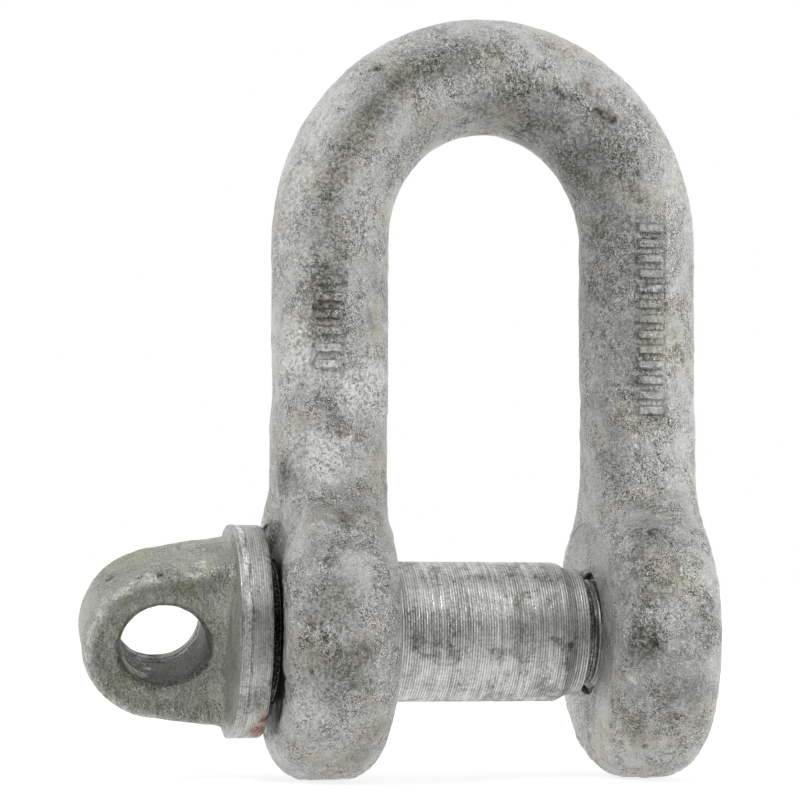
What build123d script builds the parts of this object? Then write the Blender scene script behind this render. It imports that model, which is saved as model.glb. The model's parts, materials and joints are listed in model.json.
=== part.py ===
"""Dee shackle for sailing rigging: a forged and galvanised body closed by a screw collar pin.

The origin is on the pin's axis, half way between the ears. +X runs along the pin towards the tapped
ear, +Z runs up to the crown, and the front of the shackle is the -Y side.
"""

from build123d import *
from math import cos, radians, sin, tan
import os

os.makedirs("parts", exist_ok=True)

# ---------------------------------------------------------------- driving dimensions, millimetres

# Body: a round bar bent to a dee, with an ear forged on each end.
bar_diameter = 13.4
inside_width = 23.0  # between the straight legs
inside_length = 57.6  # pin axis to the underside of the crown
crown_rise = 19.6  # height of the crown's centreline above the end of the straight legs
bar_start = 30.0  # height where the leg becomes a plain round bar
ear_diameter = 33.5
plain_ear_thickness = 13.1  # the ear under the collar
tapped_ear_thickness = 12.45
ear_edge_round = 4.6
jaw_width = 24.2  # between the ears
neck_top = 24.0  # height of the ear's forged neck
neck_fillet = 7.0  # between the neck and the disc of the ear
spot_face_diameter = 25.4
spot_face_depth = 0.4

# Pin: eye head, collar, shank, shoulder, relief groove and thread, all in one piece.
pin_diameter = 16.0
pin_clearance = 0.4  # on the diameter, in the plain ear
collar_diameter = 24.1
collar_width = 3.72
collar_chamfer = 0.6
collar_gap = 1.2  # the pin stands this far short of home
collar_back_fall = 1.1  # the back of the collar is a shallow cone
shoulder_start = 8.2
land_start = 9.5
land_diameter = 14.5
groove_start = 10.8
groove_end = 11.9
pin_end = 24.6  # from the origin to the tip of the thread
head_radius = 8.95
head_root_width = 20.7
head_thickness = 9.6
head_round = 2.0
head_fillet = 1.2  # between the head and the collar
head_tilt = 23.0  # degrees that the flat of the eye is turned about the pin's axis
eye_centre = 37.3  # from the origin to the eye's axis
eye_diameter = 9.6
eye_round = 0.8

# Thread: 60 degree form. The crests on the pin pass inside the crests of the tapped ear.
thread_pitch = 2.0
thread_depth = 0.8
thread_major = 13.4
thread_clearance = 0.1  # radial, between the two sets of crests
thread_flank = 30.0  # degrees
thread_crest = 0.25
thread_mouth = 14.6  # diameter of the countersunk mouth of the tapped hole
thread_overlap = 0.15  # how far the ridge is rooted in the core

# ---------------------------------------------------------------- derived dimensions

bar_radius = bar_diameter / 2
leg_centre = inside_width / 2 + bar_radius
spring_height = inside_length + bar_radius - crown_rise
ear_radius = ear_diameter / 2
ear_inner = jaw_width / 2
plain_outer = ear_inner + plain_ear_thickness
tapped_outer = ear_inner + tapped_ear_thickness
ears = ((-1, plain_ear_thickness), (1, tapped_ear_thickness))
pin_radius = pin_diameter / 2
collar_radius = collar_diameter / 2
collar_seat = plain_outer - spot_face_depth + collar_gap
collar_back = collar_seat + collar_width
land_radius = land_diameter / 2
thread_radius = thread_major / 2
root_radius = thread_radius - thread_depth
tapped_radius = thread_radius + thread_clearance
ridge_crest = thread_crest / 2
ridge_base = ridge_crest + (thread_depth + thread_overlap) * tan(radians(thread_flank))
front_of_eye = (0, -cos(radians(head_tilt)), -sin(radians(head_tilt)))


# ---------------------------------------------------------------- helical thread forms


def thread_ridge(radius, start, length):
    """A swept ridge of the thread form, rooted a little inside a cylinder of this radius."""
    with BuildPart() as ridge:
        with BuildLine() as turn:
            Helix(thread_pitch, length, radius, center=(start, 0, 0), direction=(1, 0, 0))
        begin = turn.line @ 0
        outward = begin - Vector(start, 0, 0)
        with BuildSketch(Plane(begin, x_dir=outward, z_dir=turn.line % 0)):
            Polygon(
                (-thread_overlap, -ridge_base),
                (thread_depth, -ridge_crest),
                (thread_depth, ridge_crest),
                (-thread_overlap, ridge_base),
                align=None,
            )
        sweep(path=turn.line, is_frenet=True)
    return ridge.part


# ---------------------------------------------------------------- shackle_body

with BuildPart() as shackle_body:
    # The ears: thick discs, each with a short neck, and well rounded all round.
    for side, thickness in ears:
        with BuildSketch(Plane.YZ.offset(side * (ear_inner + thickness / 2))) as ear_outline:
            Circle(ear_radius)
            Rectangle(bar_diameter, neck_top, align=(Align.CENTER, Align.MIN))
            neck_corners = ear_outline.vertices().group_by(Axis.Y)[-2]
            fillet(neck_corners, neck_fillet)
        extrude(amount=thickness / 2, both=True)
    rim_edges = shackle_body.edges().filter_by(Axis.X, reverse=True).group_by(Axis.Z)[:-1]
    fillet([edge for group in rim_edges for edge in group], ear_edge_round)

    # The taper from each neck to the round bar.
    for side, thickness in ears:
        with BuildSketch(Plane((side * (ear_inner + thickness / 2), 0, neck_top))):
            RectangleRounded(thickness, bar_diameter, ear_edge_round)
        with BuildSketch(Plane((side * leg_centre, 0, bar_start))):
            Circle(bar_radius)
        loft()

    # The bar: straight legs and the crown.
    with BuildLine(Plane.XZ) as bar_centreline:
        Line((leg_centre, bar_start), (leg_centre, spring_height))
        EllipticalCenterArc((0, spring_height), leg_centre, crown_rise, arc_size=180)
        Line((-leg_centre, spring_height), (-leg_centre, bar_start))
    with BuildSketch(Plane((leg_centre, 0, bar_start))):
        Circle(bar_radius)
    sweep(path=bar_centreline.wire())

    # The plain ear: a clearance hole for the shank, with a spot face under the collar.
    with Locations(Plane((-plain_outer, 0, 0), z_dir=(-1, 0, 0))):
        CounterBoreHole(
            radius=(pin_diameter + pin_clearance) / 2,
            counter_bore_radius=spot_face_diameter / 2,
            counter_bore_depth=spot_face_depth,
            depth=plain_ear_thickness,
        )

    # The tapped ear: a hole countersunk at both ends, then threaded.
    for face, outward in ((ear_inner, (-1, 0, 0)), (tapped_outer, (1, 0, 0))):
        with Locations(Plane((face, 0, 0), z_dir=outward)):
            CounterSinkHole(
                radius=tapped_radius,
                counter_sink_radius=thread_mouth / 2,
                depth=tapped_ear_thickness,
                counter_sink_angle=90,
            )
    tapped_run = tapped_ear_thickness + 2 * thread_pitch
    add(thread_ridge(tapped_radius, ear_inner - thread_pitch, tapped_run), mode=Mode.SUBTRACT)

shackle_body.part.label = "shackle_body"
export_step(shackle_body.part, "parts/shackle_body.step")


# ---------------------------------------------------------------- screw_pin

# The pin's thread: the ridge, cut to a cylinder that tapers off at both ends.
with BuildPart() as pin_thread:
    thread_run = pin_end - groove_end + 2 * thread_pitch
    add(thread_ridge(root_radius, groove_end - thread_pitch, thread_run))
    with BuildSketch(Plane.XZ):
        with BuildLine():
            Polyline(
                (groove_end, 0),
                (groove_end, root_radius),
                (groove_end + thread_depth, thread_radius),
                (pin_end - thread_depth, thread_radius),
                (pin_end, root_radius),
                (pin_end, 0),
                close=True,
            )
        make_face()
    revolve(axis=Axis.X, mode=Mode.INTERSECT)

with BuildPart() as screw_pin:
    # The eye head: a round-ended tab that widens to the collar, turned about the pin's axis.
    with BuildSketch(Plane((0, 0, 0), x_dir=(1, 0, 0), z_dir=front_of_eye)):
        with Locations((-eye_centre, 0)):
            Circle(head_radius)
        with Locations((-(collar_seat + collar_back) / 2, 0)):
            Rectangle(collar_width, head_root_width)
        make_hull()
    extrude(amount=head_thickness / 2, both=True)
    head_flats = screw_pin.faces().filter_by(Axis((0, 0, 0), front_of_eye))
    fillet(head_flats.edges(), head_round)

    # The collar, shank, shoulder, land, relief groove and the core of the thread, turned together.
    with BuildSketch(Plane.XZ):
        with BuildLine():
            Polyline(
                (-collar_back - collar_back_fall, 0),
                (-collar_back, collar_radius),
                (-collar_seat - collar_chamfer, collar_radius),
                (-collar_seat, collar_radius - collar_chamfer),
                (-collar_seat, pin_radius),
                (shoulder_start, pin_radius),
                (land_start, land_radius),
                (groove_start, land_radius),
                (groove_start, root_radius),
                (pin_end, root_radius),
                (pin_end, 0),
                close=True,
            )
        make_face()
    revolve(axis=Axis.X)
    root_edges = [
        edge
        for edge in screw_pin.edges().filter_by(GeomType.CIRCLE, reverse=True)
        if -collar_back - collar_back_fall < edge.center().X < -collar_back
    ]
    fillet(root_edges, head_fillet)

    # The eye, with a rounded rim on each side.
    with BuildSketch(Plane((0, 0, 0), x_dir=(1, 0, 0), z_dir=front_of_eye)):
        with Locations((-eye_centre, 0)):
            Circle(eye_diameter / 2)
    extrude(amount=head_thickness, both=True, mode=Mode.SUBTRACT)
    eye_rims = screw_pin.edges(Select.LAST).filter_by(GeomType.CIRCLE)
    fillet(eye_rims, eye_round)

    add(pin_thread.part)

screw_pin.part.label = "screw_pin"
export_step(screw_pin.part, "parts/screw_pin.step")
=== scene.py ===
import json
from math import ceil, cos, hypot, pi, radians, sin, tan

import bmesh
import bpy
import numpy as np
from mathutils import Matrix, Vector


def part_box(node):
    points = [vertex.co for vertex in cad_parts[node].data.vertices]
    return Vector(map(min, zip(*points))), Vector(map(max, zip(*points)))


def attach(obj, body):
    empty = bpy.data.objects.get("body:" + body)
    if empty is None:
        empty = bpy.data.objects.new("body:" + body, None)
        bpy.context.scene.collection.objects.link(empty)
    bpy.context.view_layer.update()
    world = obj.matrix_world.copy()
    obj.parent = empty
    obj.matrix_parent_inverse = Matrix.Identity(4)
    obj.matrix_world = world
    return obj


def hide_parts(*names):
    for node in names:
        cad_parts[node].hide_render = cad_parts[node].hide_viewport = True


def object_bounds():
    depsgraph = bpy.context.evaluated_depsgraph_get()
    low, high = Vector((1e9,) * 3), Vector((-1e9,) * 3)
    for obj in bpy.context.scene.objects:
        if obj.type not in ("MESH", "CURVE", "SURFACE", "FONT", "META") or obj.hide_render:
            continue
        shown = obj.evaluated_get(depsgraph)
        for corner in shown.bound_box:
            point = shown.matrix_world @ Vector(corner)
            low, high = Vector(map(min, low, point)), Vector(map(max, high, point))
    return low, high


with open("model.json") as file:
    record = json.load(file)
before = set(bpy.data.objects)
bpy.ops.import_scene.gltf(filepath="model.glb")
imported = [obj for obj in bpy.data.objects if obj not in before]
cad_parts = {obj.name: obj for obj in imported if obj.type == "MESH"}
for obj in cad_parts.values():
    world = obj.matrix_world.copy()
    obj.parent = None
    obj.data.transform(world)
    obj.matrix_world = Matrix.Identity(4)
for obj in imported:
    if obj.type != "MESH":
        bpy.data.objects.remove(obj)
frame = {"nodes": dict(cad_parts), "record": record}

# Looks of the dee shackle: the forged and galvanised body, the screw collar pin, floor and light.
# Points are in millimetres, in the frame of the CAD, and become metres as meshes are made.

MM = 0.001
cad_low, cad_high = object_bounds()

# ---------------- sizes taken from the frame, millimetres

body_low, body_high = (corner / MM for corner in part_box("shackle_body"))
pin_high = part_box("screw_pin")[1] / MM
mounts = {mount["name"]: mount for mount in frame["record"]["mounts"]}
plain_outer = -body_low.x
ear_radius = -body_low.z
crown_top = body_high.z
pin_end = pin_high.x
pin_radius = mounts["jaw_pin"]["dims"]["r_mm"]
ear_inner = mounts["jaw_pin"]["dims"]["length_mm"] / 2
bar_radius = mounts["crown_saddle"]["dims"]["r_mm"]
eye_centre = mounts["eye_hole"]["pos_m"][0] / MM
eye_axis = Vector(mounts["eye_hole"]["axis"])
head_up = np.array(eye_axis.cross(Vector((1, 0, 0))))  # up the flat of the head

# ---------------- sizes of the features, millimetres

ear_edge_round = 4.6
tapped_ear_thickness = 12.45
tapped_outer = ear_inner + tapped_ear_thickness
leg_centre = 18.2
spring_height = 44.7  # where the legs turn into the crown
hole_radius = 8.2  # plain ear
hole_chamfer = 0.3
spot_face_radius = 12.3
spot_face_depth = 0.4
jaw_cut_radius = 12.6  # how far out the inner faces of the ears are machined
jaw_stock = 0.06  # forging left on the inner faces before they are machined

collar_seat = -26.0
collar_radius = 12.05
forged_edge = -29.3  # where the forged back of the collar meets its turned rim
shoulder_start = 8.2
land_start = 9.5
land_radius = 7.25
groove_start = 10.8
groove_end = 11.9

thread_pitch = 2.0
thread_depth = 0.8
thread_crest = 0.25
thread_flank = 30.0  # degrees
root_radius = 5.9
tapped_radius = 6.8
thread_mouth = 7.3  # radius of the countersunk mouths

turning_pitch = 0.3  # of the tool marks on the shank
rim_pitch = 0.26  # of the tool marks on the collar's rim
turning_depth = 0.022
rim_turning_depth = 0.014

# How finely the meshes are made.
body_voxel = 0.34
head_voxel = 0.26
turn_steps = 160  # steps round a turned surface
eye_steps = 140  # round the eye
cutter_steps = 128  # round the tools that machine the ears
thread_steps = 96  # round the tapped hole, and round the plugs that fill the ears
crisp_angle = 38  # edges sharper than this many degrees stay crisp

# Relief of the forgings: (cell size, depth, seed).
body_relief = [(11.0, 0.05, 11), (5.0, 0.06, 12), (2.4, 0.065, 13), (1.2, 0.045, 14)]
head_relief = [(7.0, 0.12, 31), (3.0, 0.08, 32), (1.3, 0.045, 33), (0.7, 0.02, 34)]
pit_depth = 0.25


# ---------------- noise and soft shapes


def noise(points, cell, seed):
    """Smooth random values of about -1 to 1, one for each point, that vary over this cell size."""
    draw = np.random.default_rng(seed)
    shuffle = draw.permutation(256)
    slope = draw.normal(size=(256, 3))
    slope /= np.linalg.norm(slope, axis=1, keepdims=True)
    scaled = points / cell + draw.uniform(0, 256, 3)
    corner = np.floor(scaled).astype(int)
    inside = scaled - corner
    fade = inside**3 * (inside * (inside * 6 - 15) + 10)
    total = np.zeros(len(points))
    for step in np.ndindex(2, 2, 2):
        offset = np.array(step)
        where = (corner + offset) % 256
        pick = shuffle[(shuffle[where[:, 0]] + where[:, 1]) % 256]
        pick = shuffle[(pick + where[:, 2]) % 256]
        weight = np.prod(np.where(offset == 1, fade, 1 - fade), axis=1)
        total += weight * np.einsum("ij,ij->i", slope[pick], inside - offset)
    return total * 1.6


def ease(value, start, end):
    """Rises smoothly from 0 at start to 1 at end."""
    t = np.clip((value - start) / (end - start), 0, 1)
    return t * t * (3 - 2 * t)


def roughen(relief, points, layers):
    """The relief with layers of noise added."""
    for cell, depth, seed in layers:
        relief = relief + depth * noise(points, cell, seed)
    return relief


def spots(points, places, ragged=0.35, soft=0.0):
    """How strongly each point lies inside these spots. A spot is (x, y, z, radius, strength)."""
    found = np.zeros(len(points))
    for x, y, z, radius, strength in places:
        away = np.linalg.norm(points - (x, y, z), axis=1) / radius
        near = away < 2
        close = points[near]
        wobble = ragged * (noise(close, radius * 0.7, 7) + 0.5 * noise(close, 0.5, 8))
        inside = strength * (1 - ease(away[near] + wobble, 0.45 - soft, 1.05 + soft))
        found[near] = np.maximum(found[near], inside)
    return found


def trail(start, end, radius, strength, count):
    """A row of spots from one place to another."""
    share = np.linspace(0, 1, count)[:, None]
    places = np.array(start) * (1 - share) + np.array(end) * share
    return [(x, y, z, radius, strength) for x, y, z in places]


# ---------------- meshes


def add_object(name, mesh):
    made = bpy.data.objects.new(name, mesh)
    bpy.context.scene.collection.objects.link(made)
    return made


def drop(*objects):
    for item in objects:
        bpy.data.objects.remove(item)


def read_points(mesh):
    flat = np.empty(len(mesh.vertices) * 3)
    mesh.vertices.foreach_get("co", flat)
    return flat.reshape(-1, 3) / MM


def write_points(mesh, points):
    mesh.vertices.foreach_set("co", (points * MM).ravel())
    mesh.update()


def read_normals(mesh):
    flat = np.empty(len(mesh.vertices) * 3, np.float32)
    mesh.vertex_normals.foreach_get("vector", flat)
    return flat.reshape(-1, 3).astype(float)


def read_middles(mesh):
    """The middle of each face, in millimetres."""
    flat = np.empty(len(mesh.polygons) * 3, np.float32)
    mesh.polygons.foreach_get("center", flat)
    return flat.reshape(-1, 3) / MM


def smooth_points(mesh, passes):
    """Draws each point towards the middle of its neighbours."""
    points = read_points(mesh)
    edges = np.empty(len(mesh.edges) * 2, np.int32)
    mesh.edges.foreach_get("vertices", edges)
    near, far = edges.reshape(-1, 2).T
    count = np.bincount(near, minlength=len(points)) + np.bincount(far, minlength=len(points))
    for _ in range(passes):
        total = np.zeros_like(points)
        for axis in range(3):
            total[:, axis] += np.bincount(near, points[far, axis], len(points))
            total[:, axis] += np.bincount(far, points[near, axis], len(points))
        points += 0.5 * (total / count[:, None] - points)
    write_points(mesh, points)


def paint(mesh, name, values):
    """Stores one number on each vertex, for a material to read."""
    layer = mesh.attributes.new(name, "FLOAT", "POINT")
    layer.data.foreach_set("value", values.astype(np.float32))


def finished_mesh(thing):
    """The object's mesh with its modifiers applied."""
    graph = bpy.context.evaluated_depsgraph_get()
    return bpy.data.meshes.new_from_object(thing.evaluated_get(graph))


def cad_copy(name, cut=None):
    """A copy of a CAD node's mesh, welded, and cut off square beyond this place along X."""
    shape = bmesh.new()
    shape.from_mesh(frame["nodes"][name].data)
    bmesh.ops.remove_doubles(shape, verts=shape.verts, dist=0.0005 * MM)
    if cut is not None:
        everything = shape.verts[:] + shape.edges[:] + shape.faces[:]
        cut_at = {"plane_co": (cut * MM, 0, 0), "plane_no": (1, 0, 0)}
        made = bmesh.ops.bisect_plane(shape, geom=everything, clear_outer=True, **cut_at)
        rim = [part for part in made["geom_cut"] if isinstance(part, bmesh.types.BMEdge)]
        bmesh.ops.holes_fill(shape, edges=rim)
    mesh = bpy.data.meshes.new(name + "_copy")
    shape.to_mesh(mesh)
    shape.free()
    return mesh


def remesh(name, meshes, voxel):
    """One even mesh round all of these closed meshes."""
    shape = bmesh.new()
    for mesh in meshes:
        shape.from_mesh(mesh)
    joined = bpy.data.meshes.new(name)
    shape.to_mesh(joined)
    shape.free()
    whole = add_object(name, joined)
    change = whole.modifiers.new("even", "REMESH")
    change.mode = "VOXEL"
    change.voxel_size = voxel * MM
    even = finished_mesh(whole)
    drop(whole)
    return even


def outline(corners, step):
    """Ring places along a turned outline of (along, radius) corners, at most this step apart."""
    rings = []
    for (x0, r0), (x1, r1) in zip(corners, corners[1:]):
        count = max(1, ceil(hypot(x1 - x0, r1 - r0) / step))
        for i in range(count):
            share = i / count
            rings.append((x0 + share * (x1 - x0), r0 + share * (r1 - r0)))
    rings.append(corners[-1])
    return np.array(rings)


def spread(rings, steps):
    """The ring places repeated for each step round: along, radius and angle."""
    angle = np.linspace(0, 2 * pi, steps, endpoint=False)
    along = np.repeat(rings[:, :1], steps, axis=1)
    radius = np.repeat(rings[:, 1:], steps, axis=1)
    return along, radius, np.broadcast_to(angle, radius.shape)


def surface_noise(along, radius, angle, cell, seed):
    """Noise at each point of a turned surface."""
    points = np.stack([along, radius * np.cos(angle), radius * np.sin(angle)], axis=-1)
    return noise(points.reshape(-1, 3), cell, seed).reshape(along.shape)


def lathe(name, along, radius, material=None):
    """A closed solid turned about the pin's axis. A row is a ring, a column a step round."""
    rings, steps = radius.shape
    angle = np.linspace(0, 2 * pi, steps, endpoint=False)
    ring_points = np.stack([along, radius * np.cos(angle), radius * np.sin(angle)], axis=-1)
    ends = [[along[0].mean(), 0, 0], [along[-1].mean(), 0, 0]]
    points = np.concatenate([ring_points.reshape(-1, 3), ends]) * MM
    index = np.arange(rings * steps).reshape(rings, steps)
    after = np.roll(index, -1, axis=1)
    quads = np.stack([index[:-1], after[:-1], after[1:], index[1:]], axis=-1).reshape(-1, 4)
    first = np.stack([np.full(steps, rings * steps), after[0], index[0]], axis=-1)
    last = np.stack([np.full(steps, rings * steps + 1), index[-1], after[-1]], axis=-1)
    mesh = bpy.data.meshes.new(name)
    mesh.from_pydata(points.tolist(), [], quads.tolist() + first.tolist() + last.tolist())
    if material:
        mesh.materials.append(material)
    return mesh


def combine(base, tool, operation):
    """Cuts the tool from the base, or joins the two. Faces keep their own material."""
    whole = add_object("base", base)
    part = add_object("tool", tool)
    change = whole.modifiers.new("combine", "BOOLEAN")
    change.solver = "MANIFOLD"
    change.material_mode = "TRANSFER"
    change.operation = operation
    change.object = part
    result = finished_mesh(whole)
    drop(whole, part)
    return result


def shade(mesh, angle):
    """Smooth shading, with edges sharper than this many degrees left crisp."""
    mesh.polygons.foreach_set("use_smooth", np.ones(len(mesh.polygons), bool))
    mesh.set_sharp_from_angle(angle=radians(angle))


# ---------------- materials


def connect(tree, made, inputs):
    """Sets a node's inputs to values, or links them to other nodes' outputs."""
    for key, value in inputs.items():
        if isinstance(value, bpy.types.NodeSocket):
            tree.links.new(value, made.inputs[key])
        else:
            made.inputs[key].default_value = value


def node(tree, kind, inputs, **settings):
    """Adds a shader node of this kind."""
    made = tree.nodes.new("ShaderNode" + kind)
    for key, value in settings.items():
        setattr(made, key, value)
    connect(tree, made, inputs)
    return made


def calculate(tree, operation, first, second=0.0):
    return node(tree, "Math", {0: first, 1: second}, operation=operation).outputs[0]


def remap(tree, value, low, high, to_low=0.0, to_high=1.0):
    """Maps low..high of the value smoothly to the new range."""
    ends = {"Value": value, 1: low, 2: high, 3: to_low, 4: to_high}
    return node(tree, "MapRange", ends, interpolation_type="SMOOTHSTEP").outputs[0]


def mix_colour(tree, share, first, second, blend="MIX"):
    ends = {"Factor": share, 6: first, 7: second}
    return node(tree, "Mix", ends, data_type="RGBA", blend_type=blend).outputs[2]


def grain(tree, place, scale, detail, rough, distort, seed):
    """Fractal noise, scale in cells per millimetre."""
    ends = {"Vector": place, "W": seed, "Scale": scale, "Detail": detail}
    ends.update({"Roughness": rough, "Distortion": distort})
    return node(tree, "TexNoise", ends, noise_dimensions="4D").outputs[0]


def bump(tree, height, depth, under=None):
    """Small relief of this depth in millimetres, on top of the relief under it."""
    ends = {"Height": height, "Distance": depth * MM, "Strength": 1.0}
    if under:
        ends["Normal"] = under
    return node(tree, "Bump", ends).outputs[0]


def painted(tree, name):
    return node(tree, "Attribute", {}, attribute_name=name).outputs["Fac"]


def start_material(name):
    """A new material's node tree, its surface shader and the place on the object in millimetres."""
    made = bpy.data.materials.new(name)
    made.use_nodes = True
    tree = made.node_tree
    surface = tree.nodes["Principled BSDF"]
    place = node(tree, "TexCoord", {}).outputs["Object"]
    scaled = node(tree, "VectorMath", {0: place, "Scale": 1 / MM}, operation="SCALE")
    return made, tree, surface, scaled.outputs[0]


def rgb(red, green, blue):
    return (red, green, blue, 1.0)


def weigh(tree, *pairs):
    """The sum of each value times its weight."""
    total = 0.0
    for value, weight in pairs:
        made = node(tree, "Math", {0: value, 1: weight, 2: total}, operation="MULTIPLY_ADD")
        total = made.outputs[0]
    return total


def multiply(tree, first, *others):
    for other in others:
        first = calculate(tree, "MULTIPLY", first, other)
    return first


def add_stains(tree, base, grit):
    """The marks painted on the mesh, broken up by the grit: pale bare metal and painted highlights, grime
    and painted shade, rust, and soot with painted shade in gaps and grooves.
    """
    broken = remap(tree, grit, 0.62, 0.44, 0.4, 1.0)
    bright = remap(tree, grit, 0.40, 0.56, 0.2, 1.0)
    # Pale bare zinc, and painted highlights, lightened towards a bright zinc colour.
    base = mix_colour(tree, multiply(tree, painted(tree, "pale"), bright), base, rgb(0.80, 0.80, 0.78))
    # Grime, and painted shade, multiplied in as a dark grey.
    grime_and_shade = painted(tree, "grime_and_shade")
    dirt_and_shade = multiply(tree, grime_and_shade, remap(tree, grit, 0.60, 0.42, 0.55, 1.0))
    base = mix_colour(tree, dirt_and_shade, base, rgb(0.28, 0.275, 0.24), "MULTIPLY")
    rust = painted(tree, "rust")
    brown = mix_colour(tree, remap(tree, rust, 0.75, 1.0), rgb(0.17, 0.135, 0.09), rgb(0.20, 0.068, 0.024))
    rusted = multiply(tree, rust, remap(tree, grit, 0.62, 0.40, 0.5, 1.0))
    base = mix_colour(tree, rusted, base, brown)
    # Soot, and painted shade in gaps and grooves, mixed in as near black.
    return mix_colour(tree, multiply(tree, painted(tree, "soot_and_shade"), broken), base, rgb(0.035, 0.032, 0.027))


def galvanised(name, dark, light, tint, seed, pitted=1.0):
    """Matt zinc over a forging: smooth and gritty patches, flecks, short cracks, painted glints, leathery
    relief.

    The smaller pitted is, the calmer the gritty patches are.
    """
    made, tree, surface, place = start_material(name)
    slant = {"Vector": place, "Rotation": (0.0, radians(35), 0.0), "Scale": (1.0, 1.0, 0.5)}
    slanted = node(tree, "Mapping", slant).outputs[0]

    # The grain, from broad clouds down to flecks.
    clouds = grain(tree, place, 0.10, 4.0, 0.6, 0.6, seed)
    mottle = grain(tree, place, 0.5, 4.0, 0.6, 0.5, seed + 3)
    wrinkle = grain(tree, slanted, 1.3, 4.0, 0.6, 0.7, seed + 4)
    grit = grain(tree, place, 2.9, 3.0, 0.6, 0.0, seed + 5)
    fleck = grain(tree, place, 7.0, 1.5, 0.6, 0.0, seed + 6)
    patches = grain(tree, place, 0.28, 3.0, 0.6, 0.4, seed + 8)

    # Two tones of zinc: soft where it is smooth, sharp where it is gritty.
    gritty = remap(tree, patches, 0.56, 0.42, 0.0, 0.4 + 0.6 * pitted)
    soft = weigh(tree, (clouds, 0.35), (mottle, 0.20), (grit, 0.20), (fleck, 0.25))
    sharp = weigh(tree, (clouds, 0.15), (mottle, 0.17), (grit, 0.32), (fleck, 0.36))
    smooth_base = mix_colour(tree, remap(tree, soft, 0.38, 0.58), dark, light)
    gritty_base = mix_colour(tree, remap(tree, sharp, 0.43, 0.58), dark, light)
    base = mix_colour(tree, gritty, smooth_base, gritty_base)
    tinted = remap(tree, grain(tree, place, 0.16, 3.0, 0.6, 0.5, seed + 11), 0.50, 0.68)
    base = mix_colour(tree, tinted, base, tint, "MULTIPLY")

    # Dark specks and pocks, cracks along the wrinkles, and painted glints: small highlights painted into
    # the colour.
    specks = multiply(tree, remap(tree, fleck, 0.46, 0.38), remap(tree, grit, 0.56, 0.44), gritty)
    base = mix_colour(tree, multiply(tree, specks, 0.85 * pitted), base, rgb(0.085, 0.078, 0.055))
    pocks = remap(tree, grain(tree, place, 1.5, 3.0, 0.6, 0.3, seed + 9), 0.40, 0.35)
    base = mix_colour(tree, multiply(tree, pocks, gritty, 0.75 * pitted), base, rgb(0.09, 0.08, 0.055))
    hollow = calculate(tree, "ABSOLUTE", calculate(tree, "SUBTRACT", wrinkle, 0.47))
    cracked = remap(tree, hollow, 0.017, 0.005)
    cracked = multiply(tree, cracked, remap(tree, patches, 0.52, 0.42, 0.0, 0.85))
    base = mix_colour(tree, cracked, base, rgb(0.10, 0.095, 0.08))
    # Painted highlight: bright glints painted on the highest flecks.
    painted_glint = multiply(tree, remap(tree, fleck, 0.57, 0.66), remap(tree, gritty, 0.0, 1.0, 0.35, 0.9))
    base = mix_colour(tree, painted_glint, base, rgb(0.88, 0.88, 0.86))
    base = add_stains(tree, base, grit)

    rough = remap(tree, fleck, 0.35, 0.68, 0.47, 0.29)
    relief = bump(tree, wrinkle, 0.75)
    relief = bump(tree, grit, 0.24, relief)
    relief = bump(tree, fleck, 0.13, relief)
    connect(tree, surface, {"Base Color": base, "Metallic": 0.92, "Roughness": rough, "Normal": relief})
    return made


wave_turn = 0.314  # millimetres for one band of the wave texture at scale 1


def turned(name, dark, light, stained, pitch=turning_pitch, cut=1.0):
    """Machined steel with tool marks round the pin's axis, grey stains and small pits.

    Stained is how strong the grey stains are, and cut how deep the tool marks are.
    """
    made, tree, surface, place = start_material(name)
    squeeze = node(tree, "Mapping", {"Vector": place, "Scale": (1.0, 0.05, 0.05)}).outputs[0]
    rings = grain(tree, squeeze, 2.6, 3.0, 0.7, 0.0, 1.0)
    wave = {"Vector": place, "Scale": wave_turn / pitch, "Distortion": 0.5, "Detail": 1.0}
    lines = node(tree, "TexWave", wave, bands_direction="X").outputs["Fac"]
    stain = grain(tree, place, 0.30, 5.0, 0.66, 0.6, 2.0)
    streak = grain(tree, squeeze, 0.8, 4.0, 0.7, 0.3, 3.0)
    grit = grain(tree, place, 3.0, 3.0, 0.62, 0.0, 4.0)
    worn = remap(tree, stain, 0.40, 0.56)
    marked = remap(tree, lines, 0.15, 0.85, 0.25 + 0.35 * cut, 0.0)
    shown = multiply(tree, marked, remap(tree, streak, 0.35, 0.6, 0.35, 1.0))
    tone = weigh(tree, (rings, 0.40 * cut), (grit, 0.30), (stain, 0.30))
    total = 0.60 + 0.40 * cut
    base = mix_colour(tree, remap(tree, tone, 0.40 * total, 0.59 * total), dark, light)
    base = mix_colour(tree, shown, base, rgb(0.12, 0.12, 0.11))
    speckled = remap(tree, grit, 0.62, 0.4, 0.3, 1.0)
    patch = multiply(tree, remap(tree, stain, 0.47, 0.36), speckled, stained)
    base = mix_colour(tree, patch, base, rgb(0.17, 0.165, 0.14))
    flecked = multiply(tree, remap(tree, grit, 0.40, 0.30), remap(tree, stain, 0.58, 0.42, 0.1, 0.8))
    base = mix_colour(tree, flecked, base, rgb(0.08, 0.075, 0.065))
    base = add_stains(tree, base, grit)
    rough = remap(tree, worn, 0.0, 1.0, 0.5, 0.34)
    relief = bump(tree, rings, 0.05 * cut)
    relief = bump(tree, lines, 0.03 * cut, relief)
    relief = bump(tree, grit, 0.05, relief)
    connect(tree, surface, {"Base Color": base, "Metallic": 0.8, "Roughness": rough, "Normal": relief})
    return made


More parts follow.
